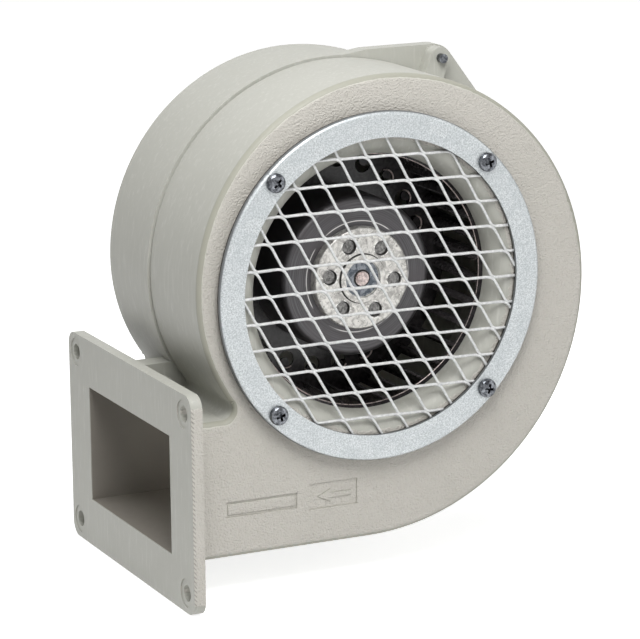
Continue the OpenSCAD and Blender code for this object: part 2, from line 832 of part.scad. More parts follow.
scroll_housing();
rear_housing();
inlet_ring();
inlet_mesh();
ring_screws();
housing_bolts();
motor_flange();
motor_screws();
stator_core();
stator_insulator();
stator_windings();
driver_board();
board_screws();
front_bearing();
rear_bearing();
cable_gland();
shaft();
shaft_clip();
rotor_can();
rotor_magnets();
rotor_hub();
hub_rivets();
impeller_disc();
impeller_blades();
impeller_front_ring();
impeller_back_ring();
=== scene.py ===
# %% [markdown]
# # Single-inlet blower fan
# The fan is a die-cast scroll housing with a flanged outlet. Behind its round inlet, under a ring and a
# wire guard, sits a drum wheel on an external-rotor motor. The solids come from the CAD frame, in metres,
# and stay where they are. This script gives each of them the finish of the real metal or plastic, and adds
# the small things that a solid modeller leaves out.

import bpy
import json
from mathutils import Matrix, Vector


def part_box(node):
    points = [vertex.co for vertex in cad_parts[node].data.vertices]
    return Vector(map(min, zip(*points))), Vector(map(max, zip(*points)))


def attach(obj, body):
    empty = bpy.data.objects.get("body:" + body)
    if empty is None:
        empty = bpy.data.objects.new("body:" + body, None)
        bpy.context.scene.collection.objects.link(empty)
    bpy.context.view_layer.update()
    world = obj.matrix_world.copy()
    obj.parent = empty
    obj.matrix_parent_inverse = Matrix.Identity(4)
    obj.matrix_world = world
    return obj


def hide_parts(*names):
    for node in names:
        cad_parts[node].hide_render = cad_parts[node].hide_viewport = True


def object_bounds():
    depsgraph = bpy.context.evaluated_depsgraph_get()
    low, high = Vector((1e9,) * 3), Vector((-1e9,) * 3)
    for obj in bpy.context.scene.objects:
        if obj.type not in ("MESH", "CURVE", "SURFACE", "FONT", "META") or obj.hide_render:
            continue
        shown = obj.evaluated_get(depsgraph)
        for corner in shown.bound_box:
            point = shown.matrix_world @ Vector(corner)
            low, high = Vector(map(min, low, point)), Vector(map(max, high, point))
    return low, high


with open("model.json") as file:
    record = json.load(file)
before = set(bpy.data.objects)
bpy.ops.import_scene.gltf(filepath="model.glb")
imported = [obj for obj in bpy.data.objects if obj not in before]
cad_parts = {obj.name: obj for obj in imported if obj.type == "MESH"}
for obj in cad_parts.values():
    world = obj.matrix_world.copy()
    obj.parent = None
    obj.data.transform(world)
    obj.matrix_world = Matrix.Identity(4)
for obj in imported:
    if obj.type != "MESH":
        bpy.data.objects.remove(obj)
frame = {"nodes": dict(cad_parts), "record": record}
cad_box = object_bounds()
print("nodes:", len(frame["nodes"]), "box:", [[round(v, 4) for v in corner] for corner in cad_box])

# %% [markdown]
# ## Units and colours
# A Blender unit is a metre, and most sizes here are easier to say in millimetres, so one constant turns
# them. Colours are easiest to write as the hex values of a colour card. Blender's shaders want linear light
# instead, so one function takes each channel through the sRGB curve. Rounding that curve to a power of 2.2
# would shift the dark tones.

# %% Units and colours
import json
import math

import bmesh
import bpy
from mathutils import Matrix, Vector

MM = 0.001
PER_MM = 1000.0


def shade(code):
    """A colour such as "c2bfb8" as linear red, green, blue and an alpha of 1."""
    parts = [int(code[i : i + 2], 16) / 255 for i in (0, 2, 4)]
    return [p / 12.92 if p <= 0.04045 else ((p + 0.055) / 1.055) ** 2.4 for p in parts] + [1.0]


print("middle grey:", [round(v, 3) for v in shade("808080")])

# %% [markdown]
# ## The camera
# The fan is seen from its inlet side, turned a little so that the outlet flange shows, and from slightly
# above. A long lens from more than a metre away keeps the flange and the ring nearly free of perspective.
# The camera is placed by its heading, its height angle and its distance from a point near the inlet, so
# that each of these can be changed alone. It looks along its own -Z, so the distance is added along +Z, and
# the two shifts slide the fan to its place in the frame.

# %% Camera
HEADING = math.radians(25.47)
TILT = math.radians(13.36)
ROLL = math.radians(-0.57)
DISTANCE = 1306.15 * MM
SHIFT_RIGHT, SHIFT_UP = -25.98 * MM, -13.02 * MM
LENS = 179.44
FILM = 36
FAR = 50

ring_low, ring_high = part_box("inlet_ring")
inlet_centre = Vector(((ring_low[0] + ring_high[0]) / 2, ring_low[1], (ring_low[2] + ring_high[2]) / 2))
turned = Matrix.Rotation(-HEADING, 4, "Z") @ Matrix.Rotation(math.pi / 2 - TILT, 4, "X")
turned = turned @ Matrix.Rotation(ROLL, 4, "Z")
aside = turned @ Vector((SHIFT_RIGHT, SHIFT_UP, DISTANCE))
camera = bpy.data.objects.new("camera", bpy.data.cameras.new("camera"))
camera.data.lens = LENS
camera.data.sensor_width = FILM
camera.data.clip_end = FAR
camera.matrix_world = Matrix.Translation(inlet_centre + aside) @ turned
bpy.context.collection.objects.link(camera)
bpy.context.scene.camera = camera
print("camera at", [round(v, 4) for v in camera.matrix_world.translation])

# %% [markdown]
# ## Nodes
# A material is a small graph. One function adds any node, sets its options and fills its sockets, either
# with a value or with the output of another node. A colour is given as its hex text. That keeps each finish
# short enough to read as a recipe.

# %% A node with its settings and links


def add(tree, kind, sockets=None, **settings):
    """Adds a node of that kind. sockets maps an input's name or number to a value, a colour or an output."""
    made = tree.nodes.new("ShaderNode" + kind)
    for option, value in settings.items():
        setattr(made, option, value)
    for socket, value in (sockets or {}).items():
        if isinstance(value, bpy.types.NodeSocket):
            tree.links.new(value, made.inputs[socket])
        else:
            made.inputs[socket].default_value = shade(value) if isinstance(value, str) else value
    return made


def new_finish(name):
    """An empty material and its node tree."""
    finish = bpy.data.materials.new(name)
    finish.use_nodes = True
    finish.node_tree.nodes.clear()
    return finish, finish.node_tree


def close_finish(tree, sockets):
    """Ends a finish: a Principled shader with its sockets filled, linked to the material's output."""
    shader = add(tree, "BsdfPrincipled", sockets)
    add(tree, "OutputMaterial", {"Surface": shader.outputs["BSDF"]})


print("node helper ready")

# %% [markdown]
# ## Floor and background
# The fan is shown in a plain white studio. The floor is a large pale sheet just under the flange, the
# lowest part. To the camera, and in reflections, a little light of its own lifts the sheet to paper white.
# To every other ray it is a plain diffuse floor, so it keeps the shadow and doesn't light the fan from
# below.

# %% Floor
FLOOR_GAP = 0.5 * MM
FLOOR_REACH = 6
FLOOR_LIFT = 0.77


def seen_directly(tree):
    """1 for rays from the camera, from gloss or through glass, and 0 for the rays that light the object."""
    path = add(tree, "LightPath").outputs
    first = add(tree, "Math", {0: path["Is Camera Ray"], 1: path["Is Glossy Ray"]}, operation="MAXIMUM")
    both = {0: first.outputs[0], 1: path["Is Transmission Ray"]}
    return add(tree, "Math", both, operation="MAXIMUM").outputs[0]


floor_mesh = bpy.data.meshes.new("floor")
sheet = bmesh.new()
bmesh.ops.create_grid(sheet, x_segments=1, y_segments=1, size=FLOOR_REACH)
bmesh.ops.translate(sheet, verts=sheet.verts, vec=(0, 0, cad_box[0][2] - FLOOR_GAP))
sheet.to_mesh(floor_mesh)
sheet.free()
floor = bpy.data.objects.new("floor", floor_mesh)
bpy.context.collection.objects.link(floor)

floor_finish, tree = new_finish("floor_paper")
paper = add(tree, "BsdfDiffuse", {"Color": "f4f4f4"})
lift = add(tree, "Emission", {"Color": "ffffff", "Strength": FLOOR_LIFT})
lifted = add(tree, "AddShader", {0: paper.outputs[0], 1: lift.outputs[0]})
choice = add(tree, "MixShader", {0: seen_directly(tree), 1: paper.outputs[0], 2: lifted.outputs[0]})
add(tree, "OutputMaterial", {"Surface": choice.outputs[0]})
floor_mesh.materials.append(floor_finish)
print("floor at", round(cad_box[0][2] - FLOOR_GAP, 4))

# %% [markdown]
# ## Studio light
# Three soft boxes light the fan. A small one in front and above is the key: it gives the front its slope of
# tone, pale at the top and darker at the bottom, and the screws their glints. A large one above and behind
# lights the drum. A third, in front to the right, keeps the lower right of the front from going dark. The
# outlet's side gets little but the room's own light, so it is the darkest. The lamps are turned up only
# until a colour renders about as it is written on its card.

# %% Light
AIM = Vector((0.085, 0.0, 0.06))
ROOM_LIGHT = 0.22


def soft_box(name, place, width, power):
    """A square area lamp at that place, turned to face the fan."""
    lamp = bpy.data.lights.new(name, "AREA")
    lamp.shape = "SQUARE"
    lamp.size = width
    lamp.energy = power
    made = bpy.data.objects.new(name, lamp)
    made.location = place
    made.rotation_euler = (AIM - Vector(place)).to_track_quat("-Z", "Y").to_euler()
    bpy.context.collection.objects.link(made)


soft_box("key_box", (-0.04, -0.36, 0.55), 0.34, 3.5)
soft_box("overhead_box", (-0.15, 0.35, 1.05), 0.9, 4.0)
soft_box("right_box", (1.1, -0.9, 0.35), 0.8, 2.2)

world = bpy.data.worlds.new("studio")
bpy.context.scene.world = world
world.use_nodes = True
tree = world.node_tree
tree.nodes.clear()
room = add(tree, "Background", {"Color": "ffffff", "Strength": ROOM_LIGHT})
white = add(tree, "Background", {"Color": "ffffff", "Strength": 1.0})
choice = add(tree, "MixShader", {0: seen_directly(tree), 1: room.outputs[0], 2: white.outputs[0]})
add(tree, "OutputWorld", {"Surface": choice.outputs[0]})
bpy.context.scene.view_settings.view_transform = "Standard"
print("lamps:", len(bpy.data.lights))

# %% [markdown]
# ## Patterns
# A few patterns come back in many finishes. A mottle is the small change of tone of any real surface:
# noise, and two colours mixed by it. Rings follow the lathe tool round the wheel's axis, so they need the
# distance from that axis, which a Mapping node centres. A region says where a mark lies, by soft limits on
# a place or on another pattern. Coats lay colours over each other, as a paint shop does, and relief lays
# one bump over another. The noise is a little rougher than the node's default, because real dirt and paint
# have small grains in them.

# %% Patterns
AXIS = (inlet_centre.x, inlet_centre.z)
GRAINY = 0.55


def from_axis(tree, where):
    """Distance of a point from the wheel's axis, in metres."""
    centred = add(tree, "Mapping", {"Vector": where, "Location": (-AXIS[0], 0, -AXIS[1]), "Scale": (1, 0, 1)})
    return add(tree, "VectorMath", {0: centred.outputs[0]}, operation="LENGTH").outputs["Value"]


def lathe_rings(tree, where, pitch):
    """Uneven rings round the axis, about that many millimetres apart."""
    turns = add(tree, "Math", {0: from_axis(tree, where), 1: PER_MM / pitch}, operation="MULTIPLY")
    made = add(tree, "TexNoise", {"W": turns.outputs[0], "Scale": 1.0}, noise_dimensions="1D")
    return made.outputs[0]


def region(tree, limits):
    """1 where every value is past its second limit, 0 where one is short of its first, soft between."""
    share = 1.0
    for value, first, second in limits:
        step = {"Value": value, "From Min": first, "From Max": second}
        step = add(tree, "MapRange", step, interpolation_type="SMOOTHSTEP")
        share = add(tree, "Math", {0: share, 1: step.outputs[0]}, operation="MULTIPLY").outputs[0]
    return share


def coats(tree, ground, layers):
    """Colours laid over a ground. Each layer is a cover from 0 to 1, its strength and its colour."""
    for cover, strength, colour in layers:
        share = add(tree, "Math", {0: cover, 1: strength}, operation="MULTIPLY")
        ground = add(tree, "Mix", {0: share.outputs[0], 6: ground, 7: colour}, data_type="RGBA").outputs[2]
    return ground


def relief(tree, layers):
    """One normal from bumps laid over each other, each a height and its depth in millimetres."""
    below = {}
    for height, depth in layers:
        made = add(tree, "Bump", {"Height": height, "Distance": depth * MM, **below})
        below = {"Normal": made.outputs[0]}
    return made.outputs[0]


def mottle(tree, where, size, contrast, low, high, **noise):
    """Clouds of that size in millimetres: the noise itself, and the two colours that it mixes.

    contrast holds the two values of the noise between which the first colour turns into the second.
    """
    cloud = {"Vector": where, "Scale": PER_MM / size, "Roughness": GRAINY, **noise}
    cloud = add(tree, "TexNoise", cloud).outputs[0]
    return cloud, coats(tree, low, [(region(tree, [(cloud, *contrast)]), 1.0, high)])


print("patterns ready, axis at", [round(v, 4) for v in AXIS])

# %% [markdown]
# ## Painted casting: where each skin lies
# The two halves of the scroll are die-cast aluminium under a warm grey paint. The die's flat front is
# etched, so it carries a leather grain. The drafted walls and the fillet round the front come from polished
# steel and stay smooth. So the grain is kept to places that both lie in front and face forwards. Its edge
# wanders a little, because the facing is stirred by noise before it is compared. A thin pale line is coloured
# along that edge, and the fillet beside it gets a darker coat that is painted shade.

# %% Painted casting: where each skin lies
RECESS_BACK = 47.3 * MM
FILLET_BACK = 45.2 * MM
FLANGE_T = 5 * MM
FRONT_PLAIN = 71 * MM
STIR_SIZE, STIR = 2.6, 0.09

casting_paint, tree = new_finish("casting_paint_warm_grey")
coordinates = add(tree, "TexCoord")
where = coordinates.outputs["Object"]
place = add(tree, "SeparateXYZ", {0: where}).outputs
facing = add(tree, "SeparateXYZ", {0: coordinates.outputs["Normal"]}).outputs
radius = from_axis(tree, where)
forward = add(tree, "Math", {0: facing["Y"], 1: -1.0}, operation="MULTIPLY").outputs[0]
depth = add(tree, "Math", {0: place["Y"], 1: -1.0}, operation="MULTIPLY").outputs[0]
stir = add(tree, "TexNoise", {"Vector": where, "Scale": PER_MM / STIR_SIZE, "Roughness": GRAINY}).outputs[0]
stirred = add(tree, "Math", {0: stir, 1: STIR, 2: forward}, operation="MULTIPLY_ADD").outputs[0]
etched = region(tree, [(depth, RECESS_BACK, RECESS_BACK + 0.1 * MM), (stirred, 1.005, 1.02)])
rounded = region(
    tree,
    [
        (depth, FILLET_BACK, FILLET_BACK + 0.6 * MM),
        (place["X"], FLANGE_T, FLANGE_T + 1 * MM),
        (radius, FRONT_PLAIN - 1 * MM, FRONT_PLAIN),
    ],
)
# The fillet mask carries painted shade: its coat is darker than the walls.
shaded_fillet = add(tree, "Math", {0: rounded, 1: etched}, operation="SUBTRACT", use_clamp=True).outputs[0]
edge_line = region(tree, [(stirred, 0.965, 0.99)])
pale_line = add(tree, "Math", {0: edge_line, 1: shaded_fillet}, operation="MULTIPLY").outputs[0]
print("grain from", round(RECESS_BACK / MM, 1), "mm in front, fillet from", round(FILLET_BACK / MM, 1))

# %% [markdown]
# ## Painted casting: the grain
# A leather grain is a field of rounded lumps just under a millimetre wide. Smooth Voronoi cells give the
# lumps and a little noise makes them uneven. Everywhere else, the paint has only the faint waves called
# orange peel. The grain's bump lies over the peel's, so both show at once.

# %% Painted casting: the grain
LUMP = 0.75
CELL = 1.0
PEEL = 1.6
GRAIN_DEPTH = 0.5
PEEL_DEPTH = 0.035

lumps = add(
    tree,
    "TexNoise",
    {"Vector": where, "Scale": PER_MM / LUMP, "Detail": 1.0, "Roughness": 0.45, "Distortion": 0.2},
).outputs[0]
cells = add(
    tree,
    "TexVoronoi",
    {"Vector": where, "Scale": PER_MM / CELL, "Smoothness": 0.8, "Randomness": 1.0},
    feature="SMOOTH_F1",
).outputs["Distance"]
leather = add(tree, "Math", {0: cells, 1: -0.4, 2: lumps}, operation="MULTIPLY_ADD").outputs[0]
leather = add(tree, "Math", {0: leather, 1: etched}, operation="MULTIPLY").outputs[0]
peel = {"Vector": where, "Scale": PER_MM / PEEL, "Detail": 1.0, "Roughness": GRAINY}
peel = add(tree, "TexNoise", peel).outputs[0]
grain = relief(tree, [(peel, PEEL_DEPTH), (leather, GRAIN_DEPTH)])
print("grain depth:", GRAIN_DEPTH, "peel depth:", PEEL_DEPTH)

# %% [markdown]
# ## Painted casting: marks
# Four marks lie on the casting. The flange's narrow front edge keeps short slanted marks where the die was
# dressed by hand: a saw-tooth of place along the edge, cut to a stripe. Inside the duct the walls carry
# painted shade, darkest just behind the mouth and paler further in. The seat under the guard's rim lies in
# deep shade, and a dark coat paints that shade in. And the walls show the flow of the paint as thin
# upright streaks, which is noise stretched upwards.

# %% Painted casting: marks
TICK_PITCH = 1.9 * MM
TICK_SLANT = 1.1
TICK_SHARE = 0.4
STRIP = 66.5 * MM
DUCT_SIDE = 45 * MM
DUCT_TOP = 25.1 * MM
SEAT_IN, SEAT_OUT = 62.8 * MM, 68 * MM
STREAK, STRETCHED = 1.6, 0.12

slant = {0: place["X"], 1: TICK_SLANT, 2: place["Z"]}
slant = add(tree, "Math", slant, operation="MULTIPLY_ADD").outputs[0]
turns = add(tree, "Math", {0: slant, 1: TICK_PITCH}, operation="DIVIDE").outputs[0]
phase = add(tree, "Math", {0: turns}, operation="FRACT").outputs[0]
stripe = add(tree, "Math", {0: phase, 1: TICK_SHARE}, operation="LESS_THAN").outputs[0]
edge = region(tree, [(depth, STRIP, STRIP + 0.1 * MM), (place["X"], 1.3 * MM, 0.9 * MM)])
tick = add(tree, "Math", {0: stripe, 1: edge}, operation="MULTIPLY").outputs[0]
# The duct's coat, dark behind the mouth and paler further in, is painted shade.
in_duct = region(
    tree,
    [
        (place["X"], 0.2 * MM, 0.5 * MM),
        (place["X"], 80 * MM, 60 * MM),
        (depth, DUCT_SIDE + 0.6 * MM, DUCT_SIDE),
        (depth, -DUCT_SIDE - 0.6 * MM, -DUCT_SIDE),
        (place["Z"], DUCT_TOP + 0.5 * MM, DUCT_TOP),
        (place["Z"], -DUCT_TOP - 0.5 * MM, -DUCT_TOP),
    ],
)
far_in = region(tree, [(place["X"], 4 * MM, 46 * MM)])
# The seat's dark coat is painted shade.
seat = region(
    tree,
    [
        (depth, 46.5 * MM, 47 * MM),
        (radius, SEAT_IN - 0.5 * MM, SEAT_IN),
        (radius, SEAT_OUT + 0.5 * MM, SEAT_OUT),
    ],
)
flow = add(tree, "Mapping", {"Vector": where, "Scale": (1.0, 1.0, STRETCHED)}).outputs[0]
flow = add(tree, "TexNoise", {"Vector": flow, "Scale": PER_MM / STREAK, "Roughness": GRAINY}).outputs[0]
streaks = region(tree, [(flow, 0.5, 0.8)])
print("a mark every", round(TICK_PITCH / MM, 2), "mm, seat up to", round(SEAT_OUT / MM, 1))

# %% [markdown]
# ## Painted casting: colours
# The skins and marks now become coats. The walls and the front have a ground each, with broad clouds,
# because no paint is the same all over. The front's coat covers the walls' where the grain lies, and the
# marks come on top. Satin paint has a roughness near a half, which drifts a little over some millimetres.

# %% Painted casting: colours
WALL_CLOUD, FRONT_CLOUD, GLOSS_CLOUD = 30.0, 34.0, 5.0

broad_walls = {"Vector": where, "Scale": PER_MM / WALL_CLOUD, "Roughness": GRAINY}
broad_walls = add(tree, "TexNoise", broad_walls).outputs[0]
broad_front = {"Vector": where, "Scale": PER_MM / FRONT_CLOUD, "Roughness": GRAINY}
broad_front = add(tree, "TexNoise", broad_front).outputs[0]
# Painted shade: the grain's valleys are coloured a little darker.
valley_shade = region(tree, [(leather, 0.35, 0.12)])
walls = coats(tree, "b1b1a9", [(broad_walls, 1.0, "aaaaa2"), (streaks, 1.0, "b9b9b2")])
front = coats(tree, "c1bdb6", [(broad_front, 1.0, "bbb8b0"), (valley_shade, 0.16, "9c988d")])
duct_shade = coats(tree, "87827a", [(far_in, 1.0, "c9c3b8")])
paint = coats(
    tree,
    walls,
    [
        (etched, 1.0, front),
        (shaded_fillet, 0.85, "98978a"),
        (pale_line, 0.7, "d3d1c9"),
        (tick, 0.55, "75736b"),
        (in_duct, 1.0, duct_shade),
        (seat, 1.0, "4a4740"),
    ],
)
drift = {"Vector": where, "Scale": PER_MM / GLOSS_CLOUD, "Roughness": GRAINY}
drift = add(tree, "TexNoise", drift).outputs[0]
gloss = add(tree, "MapRange", {"Value": drift, "To Min": 0.42, "To Max": 0.56}).outputs[0]
close_finish(tree, {"Base Color": paint, "Roughness": gloss, "IOR": 1.5, "Normal": grain})
print("finish:", casting_paint.name)

# %% [markdown]
# ## Galvanised ring
# The ring is punched from hot-dip galvanised sheet. Zinc freezes in large flat crystals, the spangle, and
# dulls to a fine pale speckle on top of them. Each crystal gets its own grey from a Voronoi cell, and the
# speckle is a fine mottle. The rim's edge, where the surface turns away from the front, gets a darker coat of
# painted shade, and so does the back, which lies in the ring's own shade. Zinc isn't a mirror: it is a rough
# metal, and the spangle shifts its roughness a little.

# %% Galvanised ring
SPANGLE = 7.0
SPECKLE = 0.6

galvanised_ring, tree = new_finish("galvanised_zinc_spangle")
coordinates = add(tree, "TexCoord")
where = coordinates.outputs["Object"]
spangle = {"Vector": where, "Scale": PER_MM / SPANGLE, "Randomness": 1.0}
spangle = add(tree, "TexVoronoi", spangle).outputs["Color"]
crystal = add(tree, "SeparateColor", {0: spangle}).outputs[0]
speckle, zinc = mottle(tree, where, SPECKLE, (0.3, 0.7), "9da2a4", "cfd3d4", Roughness=0.7)
facing = add(tree, "SeparateXYZ", {0: coordinates.outputs["Normal"]}).outputs
# Painted shade: a darker coat on the rim's edge and on the ring's back.
edge_shade = region(tree, [(facing["Y"], -0.75, -0.45)])
place = add(tree, "SeparateXYZ", {0: where}).outputs
back_shade = region(tree, [(place["Y"], -51.4 * MM, -51.0 * MM)])
zinc = coats(tree, zinc, [(crystal, 0.25, "a2a8ab"), (edge_shade, 1.0, "75787a"), (back_shade, 1.0, "33312f")])
dull = add(tree, "MapRange", {"Value": crystal, "To Min": 0.38, "To Max": 0.48}).outputs[0]
close_finish(
    tree,
    {"Base Color": zinc, "Metallic": 0.6, "Roughness": dull, "Normal": relief(tree, [(speckle, 0.04)])},
)
print("finish:", galvanised_ring.name)

# %% [markdown]
# ## Plated and ground steel
# Screws, rivets, bearings and the clip are bare or plated metal. The same recipe serves them all: two close
# greys mixed by a mottle, a roughness that changes a little, and a very shallow bump. Only the colours and
# the sizes differ, so they are one function with those as its arguments.

# %% Plated and ground steel


def steel(name, low, high, roughness, size):
    """A plated or ground metal: two greys in a mottle of that size in millimetres."""
    finish, tree = new_finish(name)
    where = add(tree, "TexCoord").outputs["Object"]
    cloud, tone = mottle(tree, where, size, (0.3, 0.7), low, high, Detail=4.0, Roughness=0.65)
    gloss = {"Value": cloud, "To Min": roughness - 0.06, "To Max": roughness + 0.08}
    gloss = add(tree, "MapRange", gloss).outputs[0]
    skin = relief(tree, [(cloud, 0.02)])
    close_finish(tree, {"Base Color": tone, "Metallic": 1.0, "Roughness": gloss, "Normal": skin})
    return finish


screw_steel = steel("screw_zinc_plated", "2f3135", "85888d", 0.17, 1.6)
bearing_steel = steel("bearing_ground_steel", "8f8683", "d8c8c4", 0.28, 0.9)
spring_steel = steel("clip_blued_spring_steel", "4c4f55", "6c7078", 0.3, 1.2)
rivet_metal = steel("rivet_aluminium", "4e4d4c", "8f8e8c", 0.3, 1.2)
print("metals:", screw_steel.name, bearing_steel.name, spring_steel.name, rivet_metal.name)

# %% [markdown]
# ## Marks and painted light on the hub
# The hub on the rotor's face is a casting with a boss in the middle and six pockets round it. The boss's
# floor is coloured darker, a line of painted shade runs round its foot and round the shaft, and each pocket
# has a painted highlight on its rim and painted shade on its floor. The pockets repeat round the axis, so the
# angle is folded onto one of them and a single distance serves all six: the pattern stays right whatever
# their number.

# %% Marks and painted light on the hub
POCKETS = {"count": 6, "phase": math.radians(53), "pitch": 15 * MM}
POCKET_FLOOR, POCKET_RIM = 3.15 * MM, 3.9 * MM
BOSS_FLOOR, BOSS = 8.0 * MM, 10.2 * MM
PAINTED_SHADE_LINES = ((0.3 * MM, BOSS + 0.2 * MM), (0.5 * MM, 3.4 * MM))


def from_pocket(tree, where):
    """Distance of a point from the nearest of the hub's pockets, which repeat round the axis."""
    centred = add(tree, "Mapping", {"Vector": where, "Location": (-AXIS[0], 0, -AXIS[1]), "Scale": (1, 0, 1)})
    flat = add(tree, "SeparateXYZ", {0: centred.outputs[0]}).outputs
    step = 2 * math.pi / POCKETS["count"]
    angle = add(tree, "Math", {0: flat["Z"], 1: flat["X"]}, operation="ARCTAN2").outputs[0]
    angle = add(tree, "Math", {0: angle, 1: POCKETS["phase"]}, operation="SUBTRACT").outputs[0]
    share = add(tree, "Math", {0: angle, 1: step}, operation="DIVIDE").outputs[0]
    whole = add(tree, "Math", {0: share}, operation="ROUND").outputs[0]
    folded = add(tree, "Math", {0: whole, 1: -step, 2: angle}, operation="MULTIPLY_ADD").outputs[0]
    radius = from_axis(tree, where)
    sine = add(tree, "Math", {0: folded}, operation="SINE").outputs[0]
    cosine = add(tree, "Math", {0: folded}, operation="COSINE").outputs[0]
    across = add(tree, "Math", {0: sine, 1: radius}, operation="MULTIPLY").outputs[0]
    along = add(tree, "Math", {0: cosine, 1: radius}, operation="MULTIPLY").outputs[0]
    short = add(tree, "Math", {0: along, 1: POCKETS["pitch"]}, operation="SUBTRACT").outputs[0]
    gap = add(tree, "CombineXYZ", {0: across, 1: short})
    return add(tree, "VectorMath", {0: gap.outputs[0]}, operation="LENGTH").outputs["Value"]


def hub_marks_and_light(tree, where, skin, tone):
    """The casting's colour with the darker boss floor, the painted shade lines and the pockets' painted light
    over it.
    """
    radius = from_axis(tree, where)
    darker_floor = coats(tree, "4f565e", [(region(tree, [(skin, 0.4, 0.6)]), 1.0, "8c9096")])
    painted_marks_and_light = [(region(tree, [(radius, BOSS_FLOOR, BOSS_FLOOR - 0.4 * MM)]), 1.0, darker_floor)]
    # Painted shade: dark lines round the boss's foot and round the shaft.
    for width, middle in PAINTED_SHADE_LINES:
        off = add(tree, "Math", {0: radius, 1: middle}, operation="SUBTRACT").outputs[0]
        off = add(tree, "Math", {0: off}, operation="ABSOLUTE").outputs[0]
        painted_marks_and_light.append((region(tree, [(off, width, width / 2)]), 1.0, "2a2928"))
    near = from_pocket(tree, where)
    # Each pocket's bright rim is a painted highlight and its dark floor is painted shade.
    rim = coats(tree, "8b8986", [(region(tree, [(skin, 0.42, 0.58)]), 1.0, "f4f3ef")])
    painted_marks_and_light.append((region(tree, [(near, POCKET_RIM, POCKET_RIM - 0.4 * MM)]), 1.0, rim))
    painted_marks_and_light.append((region(tree, [(near, POCKET_FLOOR + 0.1 * MM, POCKET_FLOOR)]), 1.0, "3d3b39"))
    return coats(tree, tone, painted_marks_and_light)


print("pockets:", POCKETS["count"], "boss radius in mm:", round(BOSS / MM, 2))

# %% [markdown]
# ## Bare castings
# The castings of the motor are unpainted die-cast aluminium. Their skin is mottled where the metal froze at
# different speeds, and pits of a few tenths of a millimetre are coloured darker. The pits are the middles of
# Voronoi cells, and their bump goes down while the mottle's goes up.

# %% Bare castings
PIT_SPACING = 1.9


def bare_casting(name, low, high, roughness, size, marks_and_light=None):
    """Unpainted die-cast aluminium: a mottled skin with pits, and the given marks and painted light, if any.
    """
    finish, tree = new_finish(name)
    where = add(tree, "TexCoord").outputs["Object"]
    skin, tone = mottle(
        tree, where, size, (0.36, 0.62), low, high, Detail=4.0, Roughness=0.7, Distortion=0.8
    )
    hole = {"Vector": where, "Scale": PER_MM / PIT_SPACING, "Randomness": 1.0}
    hole = add(tree, "TexVoronoi", hole).outputs["Distance"]
    pit = region(tree, [(hole, 0.16, 0.08)])
    tone = coats(tree, tone, [(pit, 0.6, "4c4b49")])
    if marks_and_light:
        tone = marks_and_light(tree, where, skin, tone)
    bumps = relief(tree, [(skin, 0.12), (pit, -0.2)])
    close_finish(tree, {"Base Color": tone, "Metallic": 0.7, "Roughness": roughness, "Normal": bumps})
    return finish


motor_casting = bare_casting("motor_flange_bare_casting", "8d8d8a", "b4b3ae", 0.5, 2.4)
hub_casting = bare_casting("hub_mottled_casting", "a5a39f", "dfddd8", 0.42, 2.6, marks_and_light=hub_marks_and_light)
print("castings:", motor_casting.name, hub_casting.name)

# %% [markdown]
# ## Turned and painted rotor
# The rotor can is deep-drawn steel under a thin dark satin lacquer. The lathe's rings still show through
# it, and one scribed circle shines where the tool left its mark, broken where the lacquer filled it. The
# wheel is a black gloss coat over sheet steel, so it shows little of itself besides its reflections.

# %% Rotor and wheel
SCRIBED = 23.6 * MM
RING_PITCH = 0.7
FILL_SIZE, SMEAR_SIZE = 16.0, 12.0

rotor_coat, tree = new_finish("rotor_dark_satin_lacquer")
where = add(tree, "TexCoord").outputs["Object"]
rings = lathe_rings(tree, where, RING_PITCH)
away = add(tree, "Math", {0: from_axis(tree, where), 1: SCRIBED}, operation="SUBTRACT").outputs[0]
away = add(tree, "Math", {0: away}, operation="ABSOLUTE").outputs[0]
fill = add(tree, "TexNoise", {"Vector": where, "Scale": PER_MM / FILL_SIZE, "Roughness": GRAINY}).outputs[0]
scribe = region(tree, [(away, 0.3 * MM, 0.1 * MM), (fill, 0.42, 0.55)])
smear = add(tree, "TexNoise", {"Vector": where, "Scale": PER_MM / SMEAR_SIZE, "Roughness": GRAINY}).outputs[0]
satin = coats(
    tree,
    "4b494b",
    [
        (region(tree, [(rings, 0.35, 0.65)]), 1.0, "5d5c5e"),
        (region(tree, [(smear, 0.35, 0.75)]), 1.0, "545153"),
        (scribe, 1.0, "d6d4d2"),
    ],
)
gloss = add(tree, "MapRange", {"Value": rings, "To Min": 0.3, "To Max": 0.42}).outputs[0]
close_finish(
    tree,
    {"Base Color": satin, "Metallic": 0.55, "Roughness": gloss, "Normal": relief(tree, [(rings, 0.04)])},
)

impeller_coat, tree = new_finish("wheel_black_gloss_coat")
where = add(tree, "TexCoord").outputs["Object"]
film, black = mottle(tree, where, 2.2, (0.3, 0.7), "322f30", "464344", Detail=3.0)
gloss = add(tree, "MapRange", {"Value": film, "To Min": 0.16, "To Max": 0.3}).outputs[0]
skin = relief(tree, [(film, 0.06)])
close_finish(tree, {"Base Color": black, "Metallic": 0.0, "Roughness": gloss, "IOR": 1.5, "Normal": skin})
print("finishes:", rotor_coat.name, impeller_coat.name)

# %% [markdown]
# ## Plastic, rubber and ferrite
# The insulator and the magnets show only when the fan is taken apart, and the grommet for the leads shows
# at the back. All three come out of a mould, dark and nearly even. They differ in gloss and in the size of
# their grain, so one function makes them.

# %% Plastic, rubber and ferrite


